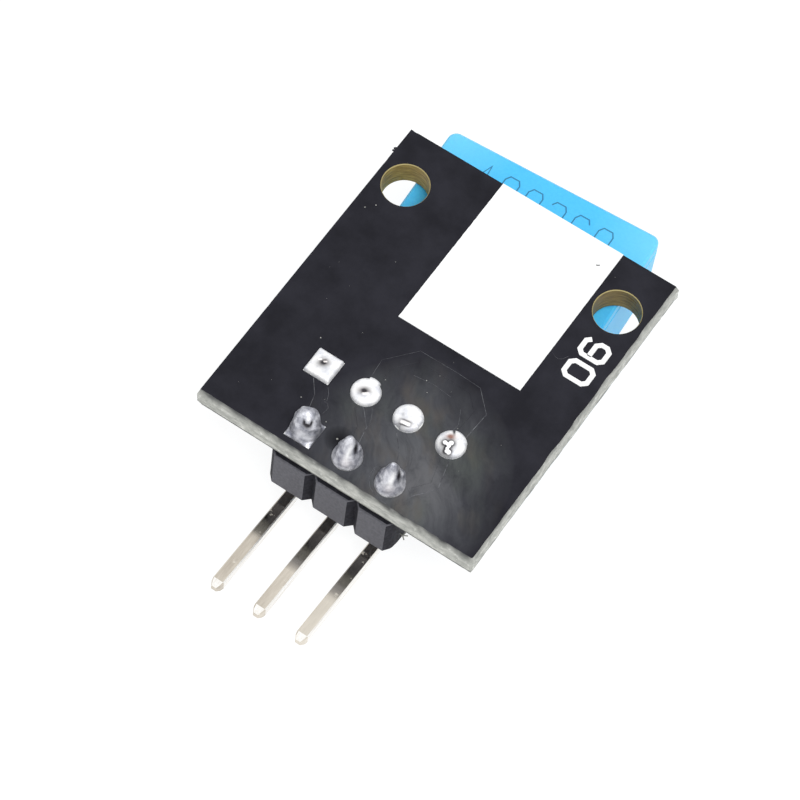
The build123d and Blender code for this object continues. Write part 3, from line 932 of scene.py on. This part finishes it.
class SENSOR_OT_lead_joints(bpy.types.Operator):
    """Shapes the flat, cratered solder on the sensor's leads"""

    bl_idname = "sensor_module.lead_joints"
    bl_label = "Lead joints"

    def execute(self, context):
        for number in range(1, 5):
            low, high = node_box(f"sensor_pad_{number}")
            cx, cy = centre_of(f"sensor_pad_{number}")
            pad = (high[0] - low[0]) / 2
            rise = node_box(f"sensor_solder_{number}")[1][2] - high[2]
            sharp = 10 if number == 1 else 6

            def spot_at(rho, angle):
                wide = half_width(pad, number == 1, angle) * self.overflow(number, angle)
                x = rho * wide * math.cos(angle)
                y = rho * wide * math.sin(angle)
                level = 0.84 + 0.06 * wobble(x * 2.4, y * 2.4, number * 7.0)
                lift, paint = self.detail(number, *to_view(x, y))
                level = clamp((level + lift) * (1 - rho**sharp) ** 0.6)
                foot = board_top() if rho == 1 else high[2] + rise * level
                return (cx + x, cy + y, foot), paint

            joint = new_joint(f"lead_joint_{number}", "bright_solder", 40, 120, spot_at)
            settle(joint, [f"sensor_solder_{number}"])
        return {"FINISHED"}

    def overflow(self, number, angle):
        """How far the solder runs past its pad, or stays behind, at an angle."""
        seen = math.degrees(angle) - VIEW_TURN
        seen = (seen + 180) % 360 - 180
        spans = {2: [(30, 76, 1.13)], 3: [(-150, -128, 0.94), (-45, -20, 0.95)], 4: [(2, 72, 1.05)]}
        for low, high, factor in spans.get(number, []):
            if low < seen < high:
                return factor
        return 1.0

    def detail(self, number, right, up):
        """Lift of the solder as a share of its height, and its painted shade, resin and painted highlight, at
        one spot.
        """
        # Painted shade darkens the craters, moats, outlines, cleft and lower left of each joint; painted
        # highlight whitens the beads, lead ends and lobes.
        ragged = 1 + 0.35 * wobble(right * 5.0, up * 5.0, number * 4.0)
        if number == 1:
            pit = ragged * bell((right, up - 0.1), (0.25, 0.2))
            beads = slab(right + 0.18, up - 0.26, 0.08, 0.04) + slab(right - 0.07, up - 0.13, 0.09, 0.045)
            shade = 0.3 * bell((right + 0.16, up), (0.42, 0.36))
            return 0.1 * beads - 0.1 * pit, (0.95 * pit + shade - 2 * beads, 0.3 * pit, beads)
        if number == 2:
            pit = ragged * bell((right + 0.1, up + 0.03), (0.27, 0.18))
            end = slab(right + 0.02, up + 0.21, 0.15, 0.07)
            shade = 0.25 * bell((right + 0.08, up + 0.1), (0.45, 0.36))
            return 0.1 * end - 0.1 * pit, (0.85 * pit + shade - 2 * end, 0.35 * pit, end)
        if number == 3:
            along = (right + 0.17) * 0.91 - (up + 0.38) * 0.42
            across = (up + 0.38) * 0.91 + (right + 0.17) * 0.42
            bar = slab(along, across, 0.24, 0.1)
            moat = 0.95 * slab(along, across, 0.3, 0.16) + 0.45 * ragged * bell((along, across), (0.42, 0.26))
            scratch = bell((right + 0.26, up - 0.08), (0.08, 0.14))
            shade = 0.3 * bell((right + 0.45, up + 0.55), (0.45, 0.3)) + 0.3 * scratch
            return 0.12 * bar - 0.06 * moat, (0.95 * moat + shade - 2.5 * bar, 0.1 * moat, bar)
        lobes, outline = 0.0, 0.0
        spots = ((-0.3, -0.01, 0.11), (-0.2, -0.08, 0.09), (0.0, -0.04, 0.12), (-0.12, -0.2, 0.1))
        spots += ((-0.2, -0.35, 0.09), (-0.24, -0.48, 0.09), (-0.14, -0.53, 0.11))
        for spot_right, spot_up, size in spots:
            gaps = (right - spot_right, up - spot_up)
            lobes = max(lobes, blob(gaps, size))
            outline = max(outline, bell(gaps, (size + 0.09, size + 0.08)))
        moat = bell((right + 0.13, up + 0.22), (0.34, 0.44))
        brown = ragged * bell((right, up - 0.3), (0.22, 0.14))
        cleft = bell((right - 0.16, up - 0.6), (0.07, 0.2))
        shade = 0.35 * bell((right + 0.5, up + 0.4), (0.3, 0.4))
        painted_shade = 0.35 * moat + 1.2 * ragged * outline + shade + 1.1 * cleft - 2.5 * lobes
        return 0.12 * lobes - 0.06 * moat, (painted_shade, 1.3 * brown - lobes, lobes)


# How wide the cones are at heights above the board: the blunt first one, then the two slim ones
BLUNT_CONE = [(0, 0.86), (0.12, 0.8), (0.35, 0.76), (0.7, 0.7), (1.02, 0.62)]
BLUNT_CONE += [(1.28, 0.5), (1.46, 0.38), (1.58, 0.26), (1.66, 0.1)]
SLIM_CONE = [(0, 0.78), (0.1, 0.77), (0.3, 0.71), (0.6, 0.59), (0.9, 0.46)]
SLIM_CONE += [(1.15, 0.35), (1.4, 0.25), (1.6, 0.16), (1.7, 0.07)]


def along_profile(profile, height):
    """Radius between the given heights of a profile."""
    for (low, wide), (high, narrow) in zip(profile, profile[1:]):
        if height <= high:
            return wide + (narrow - wide) * (height - low) / (high - low)
    return profile[-1][1]


class SENSOR_OT_pin_joints(bpy.types.Operator):
    """Draws the leaning solder cones up the header pins"""

    bl_idname = "sensor_module.pin_joints"
    bl_label = "Pin joints"

    def execute(self, context):
        slope = math.tan(context.scene.sensor_module.header_tilt)
        for number in range(1, 4):
            low, high = node_box(f"header_pad_{number}")
            cx, cy = centre_of(f"header_pad_{number}")
            pad = (high[0] - low[0]) / 2
            profile = BLUNT_CONE if number == 1 else SLIM_CONE
            over = high[2] - board_middle()

            def spot_at(rho, angle):
                h = rho * profile[-1][0]
                lean = (h + over) * slope * min(1.0, h / 0.4)
                c, s = math.cos(angle), math.sin(angle)
                wide = half_width(pad, number == 1, angle)
                r = along_profile(profile, h)
                if number == 1:
                    foot = min(max(wide - r, 0.0), 0.4)
                    r += foot * max(0.0, 1 - h / 0.16) ** 1.5
                push, paint = self.detail(number, *to_view(r * c, r * s), h)
                r *= 1 + min(1.0, h / 0.3) * (push + self.lumps(c, s, h, number * 9.0))
                r = min(r, wide)
                return (cx + r * c, cy + lean + r * s, high[2] + h), paint

            joint = new_joint(f"pin_joint_{number}", "dull_solder", 60, 96, spot_at, rising=True)
            settle(joint, [f"header_solder_{number}"])
        return {"FINISHED"}

    def lumps(self, c, s, height, start):
        """Uneven skin of the frozen cone, as a share of its radius."""
        coarse = wobble(c * 1.3, s * 1.3 + height * 1.5, start)
        fine = wobble(c * 3.1, s * 3.1 + height * 4.0, start + 3.0)
        return 0.09 * coarse + 0.07 * fine

    def detail(self, number, right, up, height):
        """Bulge of the cone as a share of its radius, and its painted shade, resin and painted highlight, at
        one spot.
        """
        front = clamp(-3 * up)
        if number == 1:
            # Painted highlight on the nose and corners, painted shade in the bowl under the nose and on the
            # lower body.
            nose = front * bell((right - 0.03, height - 1.47), (0.13, 0.14))
            bowl = front * bell((right - 0.01, height - 1.13), (0.2, 0.13))
            bowl += 0.8 * front * bell((right + 0.18, height - 1.3), (0.07, 0.14))
            bowl += 0.8 * front * bell((right - 0.23, height - 1.25), (0.07, 0.13))
            corners = 0.7 * bell((abs(right) - 0.98, up + 0.1, height), (0.06, 0.1, 0.1))
            corners += 1.5 * bell((right - 0.1, up + 0.96, height - 0.05), (0.06, 0.06, 0.12))
            body = 0.2 * bell((height - 0.45, up + 0.4), (0.5, 0.5))
            return 0.1 * nose - 0.14 * bowl, (1.3 * bowl + body - nose - corners, 0.0, 0.6 * nose + corners)
        # Painted shade and dark reflection in the pits and low on the front; painted highlights on the ridge,
        # the knob and the foot.
        pit_right = 0.33 if number == 2 else 0.36
        pit = clamp(4 * right) * bell((right - pit_right, up + 0.2, height - 0.95), (0.15, 0.3, 0.34))
        line = 0.045 - 0.26 * (1.3 - height)
        ridge = front * bell((right - line, height - 0.95), (0.14, 0.5))
        knob = bell((right - 0.5, up + 0.05, height - 0.85), (0.12, 0.2, 0.18))
        low_front_shade = 0.25 * front * bell((height - 0.3, right + 0.15), (0.25, 0.5))
        foot = 0.4 * bell((height,), (0.12,))
        return 0.05 * ridge + 0.18 * knob - 0.16 * pit, (
            1.25 * pit + low_front_shade - 0.4 * ridge - knob,
            0.14 * bell((right + 0.1, up + 0.6, height - 0.4), (0.3, 0.3, 0.3)),
            0.8 * ridge + 0.2 * knob + foot,
        )


class SENSOR_OT_header(bpy.types.Operator):
    """Builds the notched plastic strip and the three bent pins"""

    bl_idname = "sensor_module.header"
    bl_label = "Header"

    def execute(self, context):
        pitch = centre_of("header_pad_2")[0] - centre_of("header_pad_1")[0]
        mid_x = centre_of("header_pad_2")[0]
        strip = self.strip(mid_x, pitch)
        rounding = strip.modifiers.new("edges", "BEVEL")
        rounding.width = 0.035 * MM
        rounding.segments = 2
        rounding.limit_method = "ANGLE"
        rounding.angle_limit = math.radians(20)
        rounding.harden_normals = False
        settle(strip, ["header_housing"])
        self.burr(mid_x + 1.5 * pitch, centre_of("header_pad_2")[1] - 0.82)
        for number in range(1, 4):
            pin = self.pin(number, mid_x + (number - 2) * pitch)
            settle(pin, [f"header_pin_{number}"])
        return {"FINISHED"}

    def strip(self, mid_x, pitch):
        """The plastic of three units, snapped off a longer strip at its right end."""
        outline = []
        for unit in (-1, 0, 1):
            outline.append((unit * pitch - UNIT_FLAT, -UNIT_DEEP))
            if unit < 1:
                outline.append((unit * pitch + UNIT_FLAT, -UNIT_DEEP))
                outline.append(((unit + 0.5) * pitch, -NOTCH_DEEP))
        for i in range(13):
            across = -UNIT_DEEP + (UNIT_DEEP + NOTCH_DEEP) * i / 12
            torn = 0.22 + 0.3 * max(0.0, -across - 0.5) ** 1.5 / 0.6 + 0.05 * wobble(across * 3.0, 6.0)
            outline.append((1.5 * pitch - torn, across))
        for unit in (1, 0, -1):
            outline += [(unit * pitch + side * UNIT_FLAT, UNIT_DEEP) for side in (1, -1)]
            if unit > -1:
                outline.append(((unit - 0.5) * pitch, NOTCH_DEEP))
        outline += [(-1.5 * pitch, NOTCH_DEEP), (-1.5 * pitch, -NOTCH_DEEP)]
        count = len(outline)
        points = []
        for height, share in ((STRIP_TOP - STRIP_HEIGHT, 1.0), (STRIP_TOP, 1.0), (STRIP_TOP, SHADED_TOP_SHARE)):
            points += [leg_point(mid_x + x * (0.9 + 0.1 * share), a * share, height) for x, a in outline]
        faces = [tuple(reversed(range(count))), tuple(range(2 * count, 3 * count))]
        faces += ring_quads(0, 2, count, flip=True)
        # Painted shade: the inner part of the top, the notch faces and the chamfers take the darker plastic,
        # and so does the torn right end.
        picks = [0, 1]
        for i in range(count):
            plain = abs(outline[(i + 1) % count][1] - outline[i][1]) < 0.01 or i == count - 2
            picks.append(int(not plain))
        picks += [0] * count
        return new_piece("strip_visual", points, faces, ["black", "snapped"], picks)

    def burr(self, x, y):
        """A torn whisker of plastic that stands out of the strip's snapped end."""
        height = board_middle() + STRIP_TOP - 0.8
        strokes = []
        for right, up in ((0.4, 0.1), (0.36, -0.2), (0.2, 0.2)):
            path = [(x, y), (x + 0.16, y - 0.03), (x + right, y + up)]
            strokes.append((path, 0.035, 0.012, height, height + 0.06))
        settle_strokes("strip_burr", "dust", strokes)

    def pin(self, number, x_mid):
        """One square pin with its bend and its tapered end."""
        edge = bpy.context.scene.sensor_module.pin_edge / MM
        flat = PIN_HALF - edge
        section = [(PIN_HALF, flat), (flat, PIN_HALF), (-flat, PIN_HALF), (-PIN_HALF, flat)]
        section += [(-x, -n) for x, n in section]
        bend = 0.9
        drop = STRIP_TOP - STRIP_HEIGHT - PIN_DROP
        path = [((0.0, 1.5), 0.0, 0.5), ((0.0, 1.2), 0.0, 1.0), ((0.0, drop + bend), 0.0, 1.0)]
        for i in range(1, 13):
            turn = math.pi / 2 * i / 12
            spot = (-bend + bend * math.cos(turn), drop + bend - bend * math.sin(turn))
            path.append((spot, turn, 1.0))
        level = [(across, 1.0) for across in (-1.6, -2.4, -3.2, -3.6, -3.9, -4.2, -4.5, -4.8, -5.1, -7.0)]
        for across, scale in level + [(-7.2, 0.86), (-7.4, 0.5)]:
            path.append(((across, drop), math.pi / 2, scale))
        dark_reflection, painted_sheen, points = [], [], []
        for (a, b), turn, scale in path:
            for sx, sn in section:
                off = sn * scale
                # Painted dark reflection near the strip, eased off towards the bend; painted sheen the same
                # all along each pin.
                reflection_fade = min(0.5, max(0.0, (a + 2.6) * 0.7))
                dark_reflection.append(clamp((a - DARK_REFLECTION_ENDS[number - 1]) * 2.0) - reflection_fade)
                painted_sheen.append(PIN_SHEEN[number - 1])
                across = a + off * math.cos(turn)
                points.append(leg_point(x_mid + sx * scale, across, b - off * math.sin(turn)))
        spans = len(path) - 1
        faces = ring_quads(0, spans, 8, flip=True)
        picks = []
        for k in range(spans):
            # Painted highlight: these faces take the near-white copy of the wire.
            sheen_faces = (5,) if k >= spans - 2 else (0, 3, 6, 7)
            picks += [int(i in sheen_faces) for i in range(8)]
        faces += [tuple(reversed(range(8))), tuple(range(8 * spans, 8 * spans + 8))]
        picks += [0, 0]
        tints = {"dark_reflection": dark_reflection, "painted_sheen": painted_sheen}
        return new_piece(f"pin_visual_{number}", points, faces, ["pin", "pin_side"], picks, tints=tints)


class SENSOR_OT_solids(bpy.types.Operator):
    """Gives the sensor, its inside, the pads, the leads and the resistor their materials"""

    bl_idname = "sensor_module.solids"
    bl_label = "Solids"

    def execute(self, context):
        dressed = {
            "blue": ["sensor_back_cover", "sensor_grille_case"],
            "green": ["sensor_inner_board"],
            "ceramic": ["humidity_element"],
            "epoxy": ["temperature_bead", "sensor_chip", "resistor_body"],
            "tin": ["resistor_cap_1", "resistor_cap_2"],
            "bright_solder": ["resistor_joint_1", "resistor_joint_2"],
        }
        dressed["tin"] += [f"sensor_{part}_{number}" for part in ("pad", "lead") for number in range(1, 5)]
        dressed["tin"] += [f"header_pad_{number}" for number in range(1, 4)]
        for key, names in dressed.items():
            for name in names:
                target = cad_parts[name]
                target.data.materials.clear()
                target.data.materials.append(material_for(key))
        return {"FINISHED"}


class SENSOR_OT_specks(bpy.types.Operator):
    """Scatters the few specks of dust and the crumb on the board's edge"""

    bl_idname = "sensor_module.specks"
    bl_label = "Specks"

    def execute(self, context):
        draw = random.Random(context.scene.sensor_module.seed)
        low, high = node_box("circuit_board")
        margin = 0.5
        seen = [(4.97, 15.69, 0.045), (7.13, 17.0, 0.06), (6.14, 16.53, 0.04), (3.21, 12.79, 0.04)]
        seen += [(1.09, 4.82, 0.05), (0.7, 5.24, 0.04), (4.34, 16.11, 0.04), (8.9, 11.75, 0.035)]
        seen += [(7.86, 16.46, 0.03), (7.2, 12.9, 0.03), (10.15, 17.15, 0.04), (9.3, 12.3, 0.03)]
        spots = [(*on_board(right, down), size) for right, down, size in seen]
        for _ in range(26):
            x = draw.uniform(low[0] + margin, high[0] - margin)
            y = draw.uniform(low[1] + margin, high[1] - margin)
            spots.append((x, y, draw.uniform(0.01, 0.022)))
        points, faces = [], []
        for x, y, size in spots:
            self.crumb(points, faces, (x, y, high[2]), size, draw)
        dust = new_piece("dust_specks", points, faces, ["dust"])
        settle(dust)
        points, faces = [], []
        for right, down, size in ((-0.03, 1.4, 0.12), (-0.05, 1.56, 0.09)):
            self.crumb(points, faces, (*on_board(right, down), high[2] - 0.05), size, draw)
        burnt = new_piece("edge_crumb", points, faces, ["soot"])
        settle(burnt)
        return {"FINISHED"}

    def crumb(self, points, faces, spot, size, draw):
        """Adds one irregular grain that lies on the board."""
        x, y, z = spot
        start = len(points)
        for ring, (wide, lift) in enumerate(((1.0, 0.0), (0.7, 0.35))):
            for turn in range(6):
                angle = math.pi / 3 * turn + 0.4 * ring
                grow = size * wide * draw.uniform(0.7, 1.0)
                points.append((x + grow * math.cos(angle), y + grow * math.sin(angle), z + size * lift))
        faces += ring_quads(start, 1, 6, flip=True)
        faces.append(tuple(range(start + 6, start + 12)))


class SENSOR_OT_stage(bpy.types.Operator):
    """Sets the pale floor, the soft lamps, the world and the camera"""

    bl_idname = "sensor_module.stage"
    bl_label = "Stage"

    def execute(self, context):
        reach = 400.0
        corners = [(x * reach, y * reach, 0.0) for x, y in ((-1, -1), (1, -1), (1, 1), (-1, 1))]
        floor = new_piece("floor", corners, [(0, 1, 2, 3)], ["paper"])

        world = bpy.data.worlds.new("studio")
        context.scene.world = world
        world.use_nodes = True
        tree = world.node_tree
        tree.nodes.clear()
        strength = levels(tree, background_rays(tree), 0.0, 1.0, 0.55, 1.0)
        sky = add_node(tree, "ShaderNodeBackground", {"Color": "#FFFFFF", "Strength": strength})
        add_node(tree, "ShaderNodeOutputWorld", {"Surface": sky.outputs[0]})

        self.add_lamp("key", (0.17, -0.1, 0.44), 0.25, 1.6)
        self.add_lamp("fill", (-0.2, -0.35, 0.2), 0.3, 0.15)
        self.add_camera()
        context.scene.view_settings.view_transform = "Standard"
        return {"FINISHED"}

    def add_lamp(self, name, spot, size, power):
        """A square soft lamp that points at the module."""
        lamp = bpy.data.lights.new(name, "AREA")
        lamp.shape = "SQUARE"
        lamp.size = size
        lamp.energy = power
        holder = bpy.data.objects.new(name, lamp)
        holder.location = spot
        holder.rotation_euler = Vector(spot).to_track_quat("Z", "Y").to_euler()
        bpy.context.scene.collection.objects.link(holder)

    def add_camera(self):
        """A long lens that looks down on the solder side."""
        camera = bpy.data.cameras.new("camera")
        camera.sensor_width = 36.0
        camera.lens = 159.34
        camera.clip_start = 0.01
        camera.clip_end = 5.0
        holder = bpy.data.objects.new("camera", camera)
        right = (0.82607, 0.56272, 0.03084)
        up = (-0.509, 0.72147, 0.46947)
        back = (0.24193, -0.40352, 0.88241)
        place = Matrix.Translation((0.04299, -0.07905, 0.16203))
        holder.matrix_world = place @ Matrix((right, up, back)).transposed().to_4x4()
        bpy.context.scene.collection.objects.link(holder)
        bpy.context.scene.camera = holder


class SENSOR_PT_panel(bpy.types.Panel):
    """Sidebar with the sizes and the steps"""

    bl_idname = "SENSOR_PT_panel"
    bl_label = "Sensor Module"
    bl_space_type = "VIEW_3D"
    bl_region_type = "UI"
    bl_category = "Sensor Module"

    def draw(self, context):
        settings = context.scene.sensor_module
        for name in ModuleSettings.__annotations__:
            self.layout.prop(settings, name)
        for step in STEPS:
            self.layout.operator(step.bl_idname)


STEPS = [
    SENSOR_OT_board,
    SENSOR_OT_tracks,
    SENSOR_OT_marks,
    SENSOR_OT_lead_joints,
    SENSOR_OT_pin_joints,
    SENSOR_OT_header,
    SENSOR_OT_solids,
    SENSOR_OT_specks,
    SENSOR_OT_stage,
]
CLASSES = [ModuleSettings] + STEPS + [SENSOR_PT_panel]


def register():
    for item in CLASSES:
        bpy.utils.register_class(item)
    bpy.types.Scene.sensor_module = PointerProperty(type=ModuleSettings)


def unregister():
    del bpy.types.Scene.sensor_module
    for item in reversed(CLASSES):
        bpy.utils.unregister_class(item)


def main():
    register()
    bpy.ops.sensor_module.board()
    bpy.ops.sensor_module.tracks()
    bpy.ops.sensor_module.marks()
    bpy.ops.sensor_module.lead_joints()
    bpy.ops.sensor_module.pin_joints()
    bpy.ops.sensor_module.header()
    bpy.ops.sensor_module.solids()
    bpy.ops.sensor_module.specks()
    bpy.ops.sensor_module.stage()


if __name__ == "__main__":
    main()
